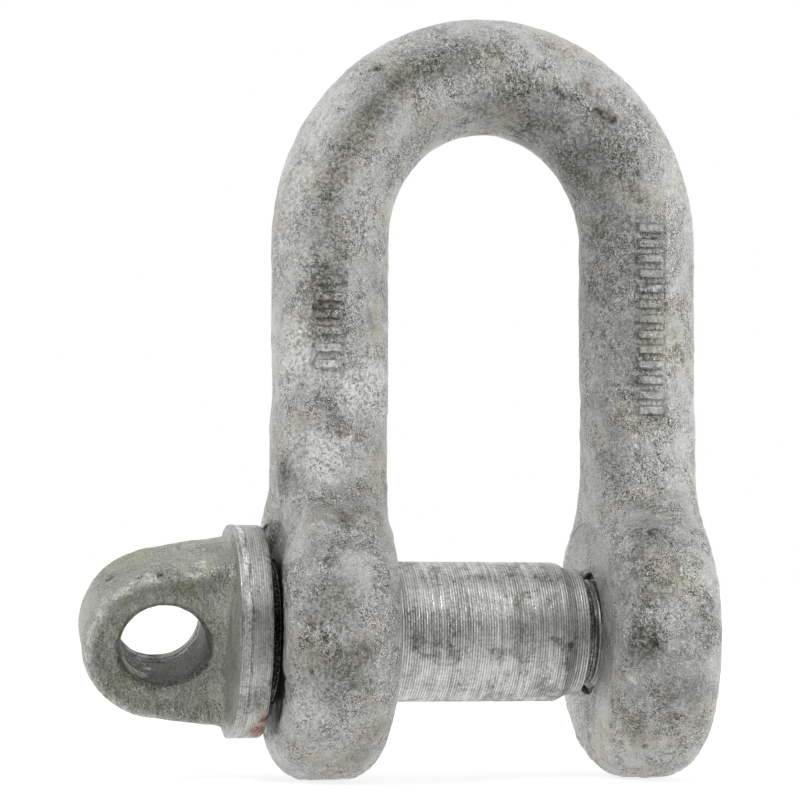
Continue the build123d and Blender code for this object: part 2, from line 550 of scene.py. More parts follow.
zinc = galvanised(
    "galvanised_forging", rgb(0.285, 0.285, 0.27), rgb(0.585, 0.585, 0.57), rgb(0.96, 0.92, 0.82), 0.0
)
head_zinc = galvanised(
    "galvanised_head", rgb(0.24, 0.245, 0.22), rgb(0.48, 0.49, 0.45), rgb(0.93, 0.94, 0.80), 20.0, 0.2
)
ear_zinc = galvanised(
    "galvanised_flat", rgb(0.26, 0.26, 0.245), rgb(0.48, 0.48, 0.46), rgb(0.95, 0.91, 0.80), 40.0
)
shank_steel = turned("turned_shank", rgb(0.36, 0.36, 0.34), rgb(0.82, 0.82, 0.80), 0.75)
rim_steel = turned(
    "turned_rim", rgb(0.30, 0.30, 0.285), rgb(0.58, 0.58, 0.56), 0.15, pitch=rim_pitch, cut=0.7
)
thread_steel = turned("cut_thread", rgb(0.20, 0.20, 0.18), rgb(0.60, 0.60, 0.58), 0.6)
bore_steel = turned("machined_ear", rgb(0.24, 0.24, 0.22), rgb(0.50, 0.50, 0.48), 0.5)


# ---------------- thread form


def thread_height(along, angle):
    """Height of the thread's ridge above its root, for a right-handed helix."""
    phase = (along - ear_inner) / thread_pitch - angle / (2 * pi)
    from_crest = np.abs(phase - np.floor(phase) - 0.5) * thread_pitch
    slope = tan(radians(thread_flank))
    half_base = thread_crest / 2 + thread_depth * slope
    return np.clip((half_base - from_crest) / slope, 0, thread_depth)


# ---------------- shackle body


def ear_plug(side):
    """Fills an ear's hole, and leaves some stock on its inner face."""
    inner = ear_inner - jaw_stock
    outer = plain_outer if side < 0 else tapped_outer
    arc = []
    for degrees in range(0, 91, 10):
        bend = radians(degrees)
        fall = ear_edge_round * (1 - cos(bend))
        reach = ear_radius - ear_edge_round * (1 - sin(bend))
        arc.append((fall, reach))
    corners = [(inner, 0.05)]
    corners += [(inner + fall, reach) for fall, reach in arc]
    corners += [(outer - fall, reach) for fall, reach in reversed(arc)]
    corners += [(outer, 0.05)]
    rings = np.array(corners)
    if side < 0:
        rings = rings[::-1] * (-1, 1)
    along, radius, _ = spread(rings, thread_steps)
    return lathe("ear_plug", along, radius)


def oblong(u, v, half_u, half_v, edge):
    """A soft-edged oblong about the middle, 1 inside and 0 outside."""
    inside_u = 1 - ease(np.abs(u), half_u - edge, half_u + edge)
    inside_v = 1 - ease(np.abs(v), half_v - edge, half_v + edge)
    return inside_u * inside_v


def across_leg(points, side, turn):
    """Distance round a leg from a line up its front, at this many degrees."""
    angle = np.arctan2(points[:, 0] - side * leg_centre, -points[:, 1])
    return (angle - radians(turn)) * bar_radius


def leg_pips(points, side, turn, low, high, pips, half_wide):
    """Plain raised pips in a shallow panel up the front of a leg: the panel, and the pips."""
    across = across_leg(points, side, turn)
    up = points[:, 2]
    middle = (low + high) / 2
    panel = oblong(across, up - middle, half_wide + 0.4, (high - low) / 2, 0.3)
    raised = np.zeros(len(points))
    for place, half_tall in pips:
        raised += oblong(across, up - low - place, half_wide, half_tall, 0.13)
    worn = np.clip(0.8 + 0.5 * noise(points, 2.2, 61), 0.2, 1.1)
    return panel, raised * worn


def refine(mesh, chosen):
    """Splits the chosen faces finely, so that they carry crisp detail."""
    shape = bmesh.new()
    shape.from_mesh(mesh)
    shape.faces.ensure_lookup_table()
    edges = {edge for face, pick in zip(shape.faces, chosen) if pick for edge in face.edges}
    bmesh.ops.subdivide_edges(shape, edges=list(edges), cuts=2, use_grid_fill=True)
    bmesh.ops.triangulate(shape, faces=[face for face in shape.faces if len(face.verts) > 4])
    shape.to_mesh(mesh)
    shape.free()


# The pips stand in for the raised marks. A pip is (height above the panel's foot, half height).
left_marks = {"side": -1, "turn": -10.5, "low": 28.7, "high": 41.1, "half_wide": 1.5}
left_marks["pips"] = [(1.3 + 1.9 * i, 0.52) for i in range(6)]
right_marks = {"side": 1, "turn": -1.0, "low": 24.2, "high": 47.6, "half_wide": 1.45}
right_marks["pips"] = [(1.2 + 1.75 * i, 0.5) for i in range(13)]
pip_height = 0.52
panel_depth = 0.20


def marks(points):
    """The panels and the pips on both legs."""
    panel_left, pips_left = leg_pips(points, **left_marks)
    panel_right, pips_right = leg_pips(points, **right_marks)
    return panel_left + panel_right, pips_left + pips_right


def hollows(points):
    """How far the left ear is drawn in: at the waist above it, beside the collar and below it."""
    x, y, z = points.T
    outside = ease(-x, 21.0, 24.5)
    waist = ease(z, 12.0, 17.0) * (1 - ease(z, 25.0, 32.0))
    pocket = 1.3 * np.exp(-(((z - 11.8) / 3.3) ** 2)) * ease(-y, -3.0, 1.5)
    below = 0.55 * ease(-z, 3.0, 6.0) * ease(np.hypot(y, z), 10.2, 11.8)
    inner = (x < 0) * (1 - ease(-x, 12.5, 15.5))
    return outside * (0.5 * waist + pocket + below) + 0.2 * inner * waist


def inner_side(points):
    """How far a point of the bar lies towards the inside of the dee: 1 inside, -1 outside."""
    x, _, z = points.T
    rise = crown_top - bar_radius - spring_height
    bend = np.arctan2(np.maximum(z - spring_height, 0) / rise, x / leg_centre)
    outward_x = x - leg_centre * np.cos(bend)
    outward_z = np.where(z > spring_height, z - spring_height - rise * np.sin(bend), 0)
    return -(outward_x * np.cos(bend) + outward_z * np.sin(bend)) / bar_radius


def forge_body():
    """The body as it leaves the forge and the zinc bath, before machining."""
    parts = [cad_copy("shackle_body"), ear_plug(-1), ear_plug(1)]
    mesh = remesh("forged_body", parts, body_voxel)
    smooth_points(mesh, 10)
    middles = read_middles(mesh)
    refine(mesh, marks(middles)[0] * (middles[:, 1] < 0) > 0.02)
    smooth_points(mesh, 3)
    points = read_points(mesh)
    low = ease(-points[:, 2], 3.0, 15.0)
    points[:, 0] += np.where(points[:, 0] < 0, -0.2, 0.4) * low  # both ears lean a little below the pin
    points[:, 0] += hollows(points)
    write_points(mesh, points)

    normals = read_normals(mesh)
    relief = roughen(0, points, body_relief)
    lumps = 0.4 + 0.6 * ease(noise(points, 9.0, 15), -0.3, 0.5)
    lumps *= 0.4 + 0.6 * (1 - ease(points[:, 2], 12.0, 20.0))
    relief += 0.22 * lumps * (np.abs(noise(points, 2.0, 16)) - 0.2)
    relief += 0.12 * lumps * np.abs(noise(points, 1.0, 17))
    panel, pips = marks(points)
    relief += (points[:, 1] < 0) * (pip_height * pips - panel_depth * panel)
    relief -= pit_depth * spots(points, body_pits)
    write_points(mesh, points + normals * relief[:, None])
    mesh.materials.clear()
    mesh.materials.append(zinc)
    return mesh


def facing_marks(radius, seed):
    """Tool marks left by facing: fine rings that differ in depth."""
    line = np.stack([radius.ravel(), np.zeros(radius.size), np.zeros(radius.size)], axis=1)
    return 0.012 * noise(line, 0.35, seed).reshape(radius.shape)


def jaw_cutter():
    """Faces both ears on the inside."""
    flat = outline([(-ear_inner, 0.2), (-ear_inner, jaw_cut_radius)], 0.25)
    rings = np.concatenate([flat, flat[::-1] * (-1, 1)])
    along, radius, _ = spread(rings, cutter_steps)
    along = along + np.sign(along) * facing_marks(radius, 21)
    return lathe("jaw_cutter", along, radius, ear_zinc)


def plain_hole_cutter():
    """Bores the plain ear and spot-faces its outside."""
    face = -plain_outer + spot_face_depth
    corners = [(-plain_outer - 2, 0.2), (-plain_outer - 2, spot_face_radius), (face, spot_face_radius)]
    corners += [(face, hole_radius + hole_chamfer), (face + hole_chamfer, hole_radius)]
    corners += [(-ear_inner + 1, hole_radius), (-ear_inner + 1, 0.2)]
    along, radius, _ = spread(outline(corners, 0.25), cutter_steps)
    flat = np.abs(along - face) < 0.01
    along = along + flat * facing_marks(radius, 22)
    return lathe("plain_hole_cutter", along, radius, bore_steel)


def tapped_hole_cutter():
    """Drills, countersinks and taps the other ear."""
    places = np.arange(ear_inner - 1.0, tapped_outer + 1.0, 0.1)
    rings = np.stack([places, np.full(len(places), tapped_radius)], axis=1)
    along, radius, angle = spread(rings, thread_steps)
    depth_in = np.minimum(along - ear_inner, tapped_outer - along)
    mouth = np.clip(thread_mouth - depth_in, 0, thread_mouth + 0.4)
    radius = np.maximum(tapped_radius + thread_height(along, angle), mouth)
    return lathe("tapped_hole_cutter", along, radius, thread_steel)


# Pits and stains on the body, with painted shade among the grime spots and painted highlights among the
# pale spots: (x, y, z, radius, strength).
body_pits = [
    # Crown
    (-13.7, -4.8, 64.1, 0.65, 0.9), (-13.3, -5.0, 64.4, 0.55, 0.9), (-6.7, -6.7, 63.7, 0.4, 0.9),
    (-7.3, -6.7, 63.7, 0.35, 0.9), (-9.4, -6.4, 63.6, 0.3, 0.8), (-10.0, -6.4, 63.7, 0.25, 0.7),
    (6.8, -6.6, 61.9, 0.7, 0.8), (7.6, -6.6, 61.2, 0.6, 0.7), (8.9, -6.7, 61.0, 0.6, 0.6),
    (11.5, -6.7, 59.7, 0.6, 0.9), (12.6, -6.7, 59.3, 0.9, 0.8), (13.4, -6.7, 58.8, 0.7, 0.9),
    (15.6, -6.7, 55.0, 0.3, 0.8), (14.8, -6.7, 56.7, 0.3, 0.7),
    # Left leg
    (-20.8, -6.2, 36.3, 0.6, 0.8), (-20.4, -6.3, 37.0, 0.4, 0.7), (-21.3, -6.0, 33.0, 0.4, 0.7),
    (-19.2, -6.7, 24.9, 0.3, 0.6), (-20.6, -6.5, 26.5, 0.35, 0.6), (-22.2, -5.7, 27.7, 0.3, 0.6),
    (-18.4, -6.7, 27.2, 0.3, 0.6), (-17.6, -6.7, 26.0, 0.3, 0.6), (-19.8, -6.7, 27.4, 0.25, 0.6),
    (-14.0, -5.4, 33.6, 0.35, 0.6),
    # Right leg
    (16.5, -6.7, 52.7, 0.35, 0.9), (15.8, -6.6, 51.0, 0.4, 0.6), (16.7, -6.6, 49.6, 0.4, 0.5),
    (22.2, -5.4, 31.3, 0.6, 0.6), (21.4, -5.9, 32.5, 0.6, 0.6),
    # Plain ear
    (-18.5, -11.1, 12.5, 0.4, 0.7), (-20.7, -14.7, 8.1, 0.6, 0.8), (-21.3, -16.7, -0.5, 0.5, 0.8),
    (-22.6, -15.8, -4.0, 0.5, 0.6), (-18.1, -15.7, -5.7, 0.5, 0.7), (-21.4, -16.6, 1.4, 0.35, 0.7),
    (-20.2, -16.7, 3.6, 0.4, 0.6),
    # Tapped ear
    (16.3, -12.2, 11.4, 0.5, 0.8), (15.6, -16.4, -1.0, 0.7, 0.6), (16.2, -11.0, -12.6, 0.5, 0.8),
]
body_pits += trail((16.7, -5.2, 60.6), (18.9, -5.0, 58.1), 0.38, 0.9, 8)
body_pits += trail((3.0, -6.7, 63.6), (3.6, -6.6, 63.1), 0.22, 0.9, 3)
body_pits += trail((19.6, -5.8, 54.0), (20.4, -5.7, 51.0), 0.16, 0.7, 14)
body_pits += trail((-22.9, -16.0, 2.1), (-22.3, -16.2, -1.2), 0.18, 0.7, 14)
body_pits += trail((-17.9, -16.4, 3.0), (-17.6, -16.4, -3.4), 0.16, 0.6, 24)
body_pits += trail((-14.6, -5.9, 46.0), (-13.9, -5.3, 43.0), 0.16, 0.6, 14)
body_rust = [
    # Crown
    (-15.0, -6.6, 57.8, 0.55, 0.8), (-14.4, -6.6, 58.0, 0.45, 0.8), (-12.3, -6.6, 57.7, 0.4, 0.7),
    (-1.1, -6.4, 66.3, 0.8, 0.6), (-0.1, -6.5, 66.0, 0.7, 0.6), (-6.3, -4.0, 68.7, 0.8, 0.4),
    (10.5, -6.5, 62.5, 1.0, 0.6), (11.6, -6.5, 61.9, 1.0, 0.6), (12.8, -6.7, 59.2, 1.2, 0.6),
    # Left leg
    (-17.5, -6.6, 53.3, 0.4, 0.7), (-17.9, -6.7, 51.3, 0.6, 0.8), (-17.6, -6.7, 50.6, 0.4, 0.8),
    (-14.2, -5.3, 39.4, 1.0, 0.35), (-13.7, -4.9, 30.8, 0.6, 0.6), (-17.8, -6.7, 22.3, 0.9, 0.6),
    (-15.8, -6.6, 21.9, 0.9, 0.3), (-11.2, -4.5, 52.6, 0.6, 0.5), (-23.5, -2.8, 51.4, 0.9, 0.4),
    # Right leg
    (12.2, -2.9, 42.0, 0.8, 0.4), (23.7, -3.8, 37.7, 0.6, 0.5), (21.0, -6.0, 34.5, 1.0, 0.4),
    # Plain ear
    (-18.3, -10.5, 13.1, 0.8, 0.6), (-14.0, -9.1, 13.0, 0.8, 0.5),
    # Tapped ear
    (18.5, -14.7, 8.0, 0.9, 0.5), (12.6, -10.5, -7.5, 1.0, 0.4), (17.9, -13.8, -9.5, 0.9, 0.4),
    (17.5, -15.4, -6.5, 0.8, 0.4),
]
# Grime, and painted shade in the large soft spots on the crown, the right leg and the ears.
body_grime_and_shade = [
    # Crown
    (-1.0, -6.6, 60.8, 3.8, 0.45), (3.5, -6.6, 60.5, 3.6, 0.45), (8.0, -6.6, 59.5, 3.6, 0.45),
    (11.5, -6.0, 56.5, 3.6, 0.4),
    # Left leg
    (-19.3, -6.7, 25.6, 1.8, 0.4), (-18.3, -6.7, 23.5, 1.8, 0.5), (-24.0, -4.7, 18.1, 1.8, 0.75),
    (-14.5, -5.6, 35.6, 1.2, 0.5),
    # Right leg
    (13.5, -6.0, 52.5, 3.4, 0.4), (14.2, -6.0, 48.0, 3.2, 0.4), (14.2, -6.0, 44.0, 3.2, 0.35),
    (14.0, -5.5, 39.0, 3.2, 0.35), (16.4, -6.6, 26.6, 0.8, 0.6), (16.5, -6.7, 23.5, 0.9, 0.6),
    (16.6, -6.7, 20.3, 1.0, 0.6), (14.5, -5.6, 44.5, 1.0, 0.6),
    # Plain ear
    (-20.8, -16.6, 2.6, 4.4, 0.75), (-19.6, -16.7, -2.5, 4.4, 0.75), (-20.0, -15.6, -6.0, 3.4, 0.6),
    (-20.0, -13.0, 9.0, 3.0, 0.5), (-24.5, -3.9, 16.1, 1.5, 0.6), (-18.4, -11.0, 12.6, 1.6, 0.6),
    (-17.6, -16.2, -4.6, 2.0, 0.6),
    # Tapped ear
    (15.1, -16.4, -1.0, 3.4, 0.8), (16.5, -15.5, 4.5, 3.4, 0.6), (14.5, -13.5, 6.5, 3.0, 0.6),
    (17.5, -15.4, -6.5, 3.0, 0.6), (16.0, -12.0, 10.5, 2.6, 0.6), (20.5, -16.2, 1.0, 3.6, 0.45),
    (20.5, -15.0, -7.5, 3.6, 0.4), (15.5, -12.5, -10.5, 2.6, 0.5),
]
# Pale zinc, and painted highlights: the large spots on the left leg and the small glints on the tapped
# ear.
body_pale = [
    # Crown
    (6.0, -4.5, 68.0, 1.8, 0.25),
    # Left leg
    (-24.3, -4.0, 50.0, 1.0, 0.4), (-21.5, -5.5, 31.5, 5.0, 0.85), (-15.0, -5.8, 27.5, 4.5, 0.8),
    (-20.0, -6.5, 20.5, 4.0, 0.65), (-22.5, -5.0, 42.0, 4.0, 0.3),
    # Right leg
    (21.5, -4.5, 48.0, 1.2, 0.3),
    # Plain ear
    (-22.5, -14.0, -8.5, 3.5, 0.4), (-19.0, -12.0, -11.5, 3.0, 0.3),
    # Tapped ear
    (14.5, -14.2, 7.7, 0.7, 0.6), (13.5, -14.7, -5.0, 0.5, 0.7), (13.9, -13.3, -8.6, 0.5, 0.7),
]


def marks_dirt(points):
    """Dirt in the panels of the marks, and round the edges of the pips."""
    panel, pips = marks(points)
    recess = (points[:, 1] < 0) * np.clip(panel - 1.6 * pips, 0, 1)
    edges = (points[:, 1] < 0) * np.clip(4 * pips * (1 - pips), 0, 1)
    return np.maximum(0.12 * recess, 0.65 * edges * ease(noise(points, 1.5, 62), -0.3, 0.4))


def inside_painted_shade(points, inward):
    """Painted shade on the inside of the right leg and of the crown, which face away from the light."""
    x, _, z = points.T
    inside = ease(inward, -0.5, 0.25) * ease(x, -9.0, 4.0) * ease(z, 8.0, 18.0)
    inside *= 0.50 + 0.30 * noise(points, 3.0, 63)
    inside *= 0.4 + 0.6 * ease(z, 22.0, 38.0) + 0.3 * ease(z, 40.0, 50.0)
    return inside


def front_painted_shade(points, inward):
    """Painted shade: a darker band up the front of the left leg and into the crown, where it faces the
    dark front of the room.
    """
    x, y, z = points.T
    from_middle = inward + 0.2 + 0.1 * noise(points, 9.0, 64)
    band = np.exp(-((from_middle / 0.32) ** 2)) * (y < 0)
    band *= ease(-x, -5.0, 6.0) * ease(z, 22.0, 40.0) * (0.85 + 0.25 * noise(points, 3.5, 65))
    return band


def spot_face_painted_shade(points):
    """Painted shade on the spot face, so that the narrow gap beside the collar reads dark."""
    x, y, z = points.T
    in_gap = 1 - ease(np.hypot(y, z), 12.1, 12.9)
    in_gap *= ease(-x, ear_inner + 10.5, ear_inner + 12.0)
    in_gap *= 1 - 0.75 * ease(np.abs(z + 0.8), 7.0, 9.5)
    return 1.5 * in_gap


def weather_body(mesh):
    """Paints the body's grime, soot, rust and pale zinc, with painted shade inside the dee, up the front
    of the left leg and in the gap beside the collar, and painted highlights on the left leg, the outside
    of the crown and the tapped ear.
    """
    points = read_points(mesh)
    inward = inner_side(points)
    dirt_and_shade = [marks_dirt(points), inside_painted_shade(points, inward), front_painted_shade(points, inward)]
    dirt_and_shade.append(1.15 * spots(points, body_grime_and_shade, 0.5, 0.4))
    paint(mesh, "grime_and_shade", np.clip(np.maximum.reduce(dirt_and_shade), 0, 0.9))
    # Soot in the pits, and painted shade on the spot face beside the collar.
    paint(mesh, "soot_and_shade", np.maximum(spots(points, body_pits), spot_face_painted_shade(points)))
    paint(mesh, "rust", spots(points, body_rust, 0.5))
    # Painted light: the outside of the crown, lighter where it faces up to the light.
    painted_crown_light = 0.4 * ease(-inward, 0.35, 0.85) * ease(points[:, 2], 40.0, 50.0)
    paint(mesh, "pale", np.maximum(spots(points, body_pale, 0.4, 0.3), painted_crown_light))


def make_body():
    """The body: forged, machined and weathered."""
    mesh = forge_body()
    for cutter in (jaw_cutter(), plain_hole_cutter(), tapped_hole_cutter()):
        mesh = combine(mesh, cutter, "DIFFERENCE")
    weather_body(mesh)
    shade(mesh, crisp_angle)
    mesh.name = "shackle_body_forged"
    return add_object("shackle_body_forged", mesh)


# ---------------- screw pin


def eye_frame(points):
    """Places from the eye's centre: along the pin, up the flat of the head, out of its front."""
    away = points - (eye_centre, 0, 0)
    return away[:, 0], away @ head_up, away @ np.array(eye_axis)


def head_reach(along, up):
    """Distance from the eye's centre, or from the head's centreline where the head runs to the collar."""
    widening = 1 + 0.018 * np.clip(along, 0, 8)
    return np.hypot(np.minimum(along, 0), up) / widening


# The eye is oval in front: longer along the pin, and drawn off centre. Behind, it is round.
eye_stretch = 0.36
eye_drop = 0.08
eye_back_shift = 0.12
eye_cut_end = 7.0  # how far the cutter reaches out of each side of the head


def eye_cutter():
    """The eye: oval in front and round behind, with a few ridges low in its wall from the punch."""
    wall = [(-eye_cut_end, 4.72), (-4.0, 4.66), (-3.8, 4.80), (-3.1, 4.76), (-2.9, 4.90), (-2.2, 4.84)]
    wall += [(-2.0, 4.98), (-1.0, 4.90), (1.5, 4.84), (4.3, 4.86), (5.0, 5.15), (eye_cut_end, 5.9)]
    out, radius, angle = spread(outline(wall, 0.22), eye_steps)
    radius = radius + 0.05 * surface_noise(out, radius, angle, 1.6, 36) - 0.02
    oval = ease(out, -1.5, 3.0)
    along = (radius + eye_stretch * oval) * np.cos(angle)
    along = along + eye_stretch * oval - eye_back_shift * (1 - oval)
    up = radius * np.sin(angle) - eye_drop * oval
    mesh = lathe("eye_cutter", out, radius, head_zinc)
    ends = [(-eye_cut_end, -eye_back_shift, 0.0), (eye_cut_end, eye_stretch, -eye_drop)]
    places = np.concatenate([np.stack([out, along, up], axis=-1).reshape(-1, 3), ends])
    points = np.outer(places[:, 0], np.array(eye_axis)) + np.outer(places[:, 2], head_up)
    points[:, 0] += places[:, 1] + eye_centre
    write_points(mesh, points)
    mesh.flip_normals()
    return mesh


def forge_head():
    """The eye head and the back of the collar, as forged: a worn lip round a slightly dished front."""
    mesh = remesh("forged_head", [cad_copy("screw_pin", forged_edge + 1.5)], head_voxel)
    smooth_points(mesh, 4)
    points = read_points(mesh)
    normals = read_normals(mesh)
    along, up, out = eye_frame(points)
    reach = head_reach(along, up)
    on_head = 1 - ease(along, 4.5, 7.5)
    lip = 0.50 * np.exp(-(((reach - 8.15) / 0.55) ** 2)) * ease(out, 2.0, 3.4)
    dish = 0.35 * (1 - ease(reach, 6.4, 7.9)) * ease(out, 3.5, 4.5)
    relief = roughen(on_head * (lip - dish), points, head_relief)
    relief -= pit_depth * spots(points, pin_pits)
    write_points(mesh, points + normals * relief[:, None])
    mesh.materials.clear()
    mesh.materials.append(head_zinc)
    mesh = combine(mesh, eye_cutter(), "DIFFERENCE")
    return combine(mesh, head_trim(), "DIFFERENCE")


def head_trim():
    """Cuts the forging off where the turned rim begins, along a wavy edge."""
    corners = [(forged_edge, 0.2), (forged_edge, 15.0), (0, 15.0)]
    along, radius, angle = spread(outline(corners, 0.5), turn_steps)
    circle = np.stack([10 * np.cos(angle), 10 * np.sin(angle), np.zeros(angle.shape)], axis=-1)
    wave = 0.22 * noise(circle.reshape(-1, 3), 2.5, 35).reshape(angle.shape)
    along = along + np.where(along < forged_edge + 0.01, wave, 0)
    return lathe("head_trim", along, radius, head_zinc)


def pin_outline():
    """Ring places along the turned part of the pin, closest where it has tool marks."""
    rim_edge = (collar_seat - 0.5, collar_radius - 0.02)
    hidden = [(forged_edge - 0.4, 0.2), (forged_edge - 0.4, collar_radius - 0.02), rim_edge]
    rim = [rim_edge, (collar_seat - 0.18, collar_radius - 0.1)]
    rim += [(collar_seat - 0.04, collar_radius - 0.22), (collar_seat, collar_radius - 0.4)]
    seat = [(collar_seat, pin_radius + 0.15), (collar_seat + 0.15, pin_radius)]
    sleeve = [(collar_seat + 0.15, pin_radius), (-ear_inner - 1.0, pin_radius)]
    shank = [(-ear_inner - 1.0, pin_radius), (shoulder_start - 0.3, pin_radius)]
    neck = [(shoulder_start - 0.3, pin_radius), (shoulder_start + 0.1, pin_radius - 0.1)]
    neck += [(land_start - 0.2, land_radius + 0.09), (land_start + 0.3, land_radius)]
    neck += [(groove_start, land_radius), (groove_start + 0.25, root_radius), (groove_end, root_radius)]
    thread = [(groove_end, root_radius), (pin_end, root_radius)]
    runs = [outline(hidden, 0.08)]
    for corners, step in ((rim + seat, 0.15), (sleeve, 0.15), (shank, 0.06), (neck, 0.08), (thread, 0.1)):
        runs.append(outline(corners, step)[1:])
    runs.append(np.array([(pin_end, root_radius * 0.5), (pin_end, 0.2)]))
    return np.concatenate(runs)


def spiral(along, angle, pitch):
    """A fine spiral of this pitch round the pin: 0 on its crests, 1 in its grooves."""
    turn = along / pitch - angle / (2 * pi)
    return np.abs(turn - np.floor(turn) - 0.5) * 2


def tool_marks(along, radius, angle):
    """How deep the tool has marked the shank and the collar's rim."""
    on_shank = ease(along, collar_seat + 0.1, collar_seat + 0.4)
    on_shank *= 1 - ease(along, land_start, land_start + 0.1)
    uneven = surface_noise(along, 0.02, angle, 0.45, 41)
    worn = 0.5 + 0.5 * surface_noise(along, radius, angle, 3.0, 42)
    shank_marks = turning_depth * spiral(along, angle, turning_pitch) * worn + 0.012 * uneven
    on_rim = (radius > collar_radius - 0.3) & (along > forged_edge)
    rim_marks = 0.003 * uneven + rim_turning_depth * spiral(along, angle, rim_pitch)
    return on_shank * shank_marks + on_rim * rim_marks


def turn_pin():
    """The collar's rim, shank, shoulder, land, relief groove and thread, turned in one piece."""
    along, radius, angle = spread(pin_outline(), turn_steps)
    taper = np.minimum(along - groove_end, pin_end - along)
    ridge = np.minimum(thread_height(along, angle), np.clip(taper, 0, thread_depth))
    threaded = (radius > root_radius - 0.01) & (along > groove_end)
    radius = radius + np.where(threaded, ridge, 0)
    radius = radius - tool_marks(along, radius, angle)
    mesh = lathe("turned_pin", along, radius, shank_steel)
    mesh.materials.append(rim_steel)
    mesh.materials.append(thread_steel)
    middle = read_middles(mesh)[:, 0]
    slot = np.where(middle < collar_seat + 0.1, 1, np.where(middle > groove_end, 2, 0))
    mesh.polygons.foreach_set("material_index", slot.astype(np.int32))
    return mesh


# Pits and stains on the pin.
pin_pits = [
    # Eye head
    (-43.4, -2.8, 6.0, 0.6, 0.9), (-42.9, -3.0, 6.3, 0.45, 0.9), (-40.3, -6.6, 6.1, 0.35, 0.9),
    (-38.1, -7.1, 6.2, 0.4, 0.9), (-36.9, -7.2, 6.2, 0.3, 0.7), (-35.4, -7.2, 6.0, 0.3, 0.7),
    (-43.3, -1.7, -6.9, 0.4, 0.9),
    # Collar
    (-26.3, -7.3, -9.2, 0.5, 0.7), (-26.3, -10.8, 5.0, 0.35, 0.7), (-26.3, -11.6, 2.6, 0.3, 0.7),
    (-26.4, -9.0, 7.8, 0.35, 0.7), (-26.3, -10.6, -5.4, 0.3, 0.7),
    # Shank
    (8.4, -7.8, -1.4, 0.5, 0.9), (6.0, -5.0, 6.2, 0.35, 0.8), (5.4, -5.3, 5.9, 0.3, 0.8),
    (6.6, -5.4, 5.8, 0.3, 0.8), (4.8, -4.9, 6.3, 0.3, 0.7), (6.1, -7.1, 3.7, 0.3, 0.7),
    (-5.1, -8.0, -0.2, 0.4, 0.6),
]
pin_rust = [
    # Eye head
    (-38.1, -7.1, 6.2, 0.5, 0.7), (-41.5, -6.4, 4.8, 0.4, 0.5), (-40.2, -6.6, 5.4, 0.4, 0.5),
    (-37.0, -7.3, 5.6, 0.5, 0.4),
    # Collar
    (-27.3, -9.0, -8.0, 0.5, 0.8), (-26.4, -6.4, 9.8, 0.6, 0.6), (-26.5, -9.8, 6.4, 0.5, 0.6),
]
rim_rust = [
    (-26.2, -4.9, -11.0, 2.2, 1.4), (-26.4, -7.3, -9.6, 1.1, 1.2), (-26.6, -3.0, -11.7, 1.2, 1.2),
]
pin_grime = [
    # Eye head
    (-36.5, -7.4, 5.2, 2.0, 0.5), (-33.6, -6.6, 5.5, 1.8, 0.4), (-33.0, -6.0, -6.5, 3.0, 0.2),
    (-38.0, -3.5, -6.5, 3.0, 0.15),
    # Collar
    (-28.0, -11.8, 1.5, 1.6, 0.35), (-27.6, -10.0, -6.5, 2.0, 0.35),
    # Shank
    (-5.1, -8.0, -0.2, 2.6, 0.5), (-4.1, -7.1, 3.7, 2.0, 0.4), (-9.1, -8.0, 0.4, 2.2, 0.4),
    (2.4, -8.0, -0.8, 2.2, 0.45), (6.0, -5.4, 6.0, 1.6, 0.5), (6.5, -7.2, 3.4, 1.8, 0.4),
]
pin_pale = [
    (-33.6, -6.9, 7.5, 1.0, 0.7), (-41.4, -6.8, 4.7, 0.6, 0.7), (-39.2, -6.8, 6.3, 0.6, 0.7),
    (-35.4, -7.4, 6.3, 0.6, 0.6), (-44.5, -5.5, 1.4, 0.6, 0.5),
]


def head_wear(points):
    """The eye head's worn ridge with a painted highlight along it, painted shade on its near face, which
    faces down and away from the light, and the dark lines low in the eye.
    """
    along, up, out = eye_frame(points)
    reach = head_reach(along, up)
    on_head = (1 - ease(along, 3.0, 6.5)) * ease(out, 2.4, 3.4)
    wobble = 0.25 * noise(points, 2.0, 71)
    from_ridge = np.abs(reach - 8.4 + 0.5 * wobble)
    # Worn ridge and painted highlight: a broken pale line along the ridge.
    ridge = on_head * (1 - ease(from_ridge, 0.10, 0.36)) * ease(noise(points, 1.4, 72), -0.3, 0.2)
    # Painted shade: the near face inside the ridge, darker as it faces down.
    face = on_head * (1 - ease(reach + wobble, 7.5, 8.1))
    in_eye = (np.hypot(along, up) < 5.1) * ease(-up, -2.0, 1.0)
    from_lines = np.minimum.reduce([np.abs(out + deep + 0.4 * wobble) for deep in (3.9, 3.0, 2.1)])
    lines = in_eye * (1 - ease(from_lines, 0.07, 0.24)) * ease(noise(points, 1.5, 73), -0.5, 0.1)
    return ridge, face, lines


def collar_wear(points):
    """A pale flash and a crack along the collar's forged edge, and specks along its seat."""
    along = points[:, 0]
    on_rim = np.hypot(points[:, 1], points[:, 2]) > collar_radius - 1.0
    wave = 0.25 * noise(points * (0.2, 1, 1), 3.0, 51)
    from_edge = along - forged_edge - 0.35 - wave
    flash = on_rim * (1 - ease(np.abs(from_edge), 0.2, 0.4)) * ease(noise(points, 3.5, 52), -0.25, 0.2)
    flash *= 0.3 + 0.7 * ease(points[:, 2], -2.0, 4.0)
    crack = on_rim * (1 - ease(np.abs(from_edge - 0.42), 0.03, 0.12))
    crack *= ease(noise(points, 2.5, 53), -0.25, 0.1)
    near_seat = on_rim * ease(along, collar_seat - 1.3, collar_seat - 0.4) * (along < collar_seat + 0.2)
    specks = near_seat * ease(noise(points, 0.7, 54), 0.1, 0.45)
    return flash, 0.75 * crack, 0.8 * specks


